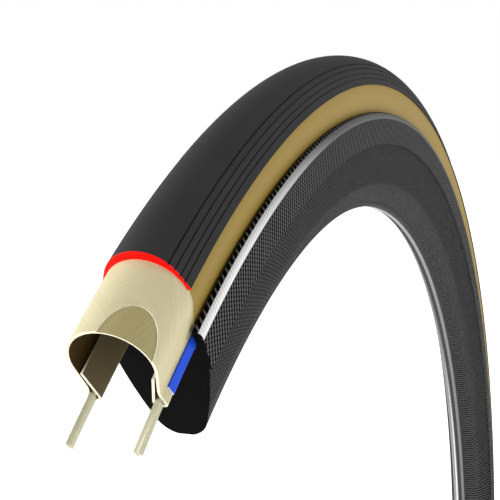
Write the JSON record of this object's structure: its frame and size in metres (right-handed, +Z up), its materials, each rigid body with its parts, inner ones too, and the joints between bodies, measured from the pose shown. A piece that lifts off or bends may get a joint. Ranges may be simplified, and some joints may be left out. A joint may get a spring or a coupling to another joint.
{
  "type": "bicycle tyre on rim",
  "caption": "Road bicycle tyre on a deep woven-carbon rim, as an upright ring cut away at one end so that each layer of the tyre steps back in turn.",
  "frame": {"origin": "the wheel's centre, on the axle's line at the mid-plane of the tyre", "axes": "+Y along the axle towards the left side, +Z up, +X forwards; the display cut is at the upper rear"},
  "size_m": [0.6732, 0.025, 0.6732],
  "materials": {
    "tread_rubber": "satin charcoal rubber with fine grooves",
    "base_rubber": "satin red rubber",
    "belt_fabric": "fine yellow-brown weave",
    "casing_cotton": "cream thread ply, lightly rubbered",
    "casing_inside": "cream thread ply, brown on the inside",
    "core_fibre": "pale bonded fibre",
    "filler_rubber": "dark soft rubber",
    "tan_rubber": "satin tan rubber",
    "blue_tape": "tight blue nylon tape",
    "carbon_weave": "woven carbon under satin lacquer",
    "rim_fill": "matt black",
    "track_weave": "woven carbon, ground matt for braking",
    "tape_film": "black tape"
  },
  "bodies": {
    "root": {"tread_crown": "tread_rubber", "tread_shoulder_left": "tread_rubber", "tread_shoulder_right": "tread_rubber", "tread_base": "base_rubber", "puncture_belt": "belt_fabric", "casing_outer_ply": "casing_cotton", "casing_inner_ply": "casing_inside", "bead_core_left": "core_fibre", "bead_core_right": "core_fibre", "bead_filler_left": "filler_rubber", "bead_filler_right": "filler_rubber", "sidewall_left": "tan_rubber", "sidewall_right": "tan_rubber", "chafer_left": "blue_tape", "chafer_right": "blue_tape", "rim_shell": "carbon_weave", "rim_core": "rim_fill", "rim_tape": "tape_film", "brake_track_left": "track_weave", "brake_track_right": "track_weave"}
  },
  "joints": []
}
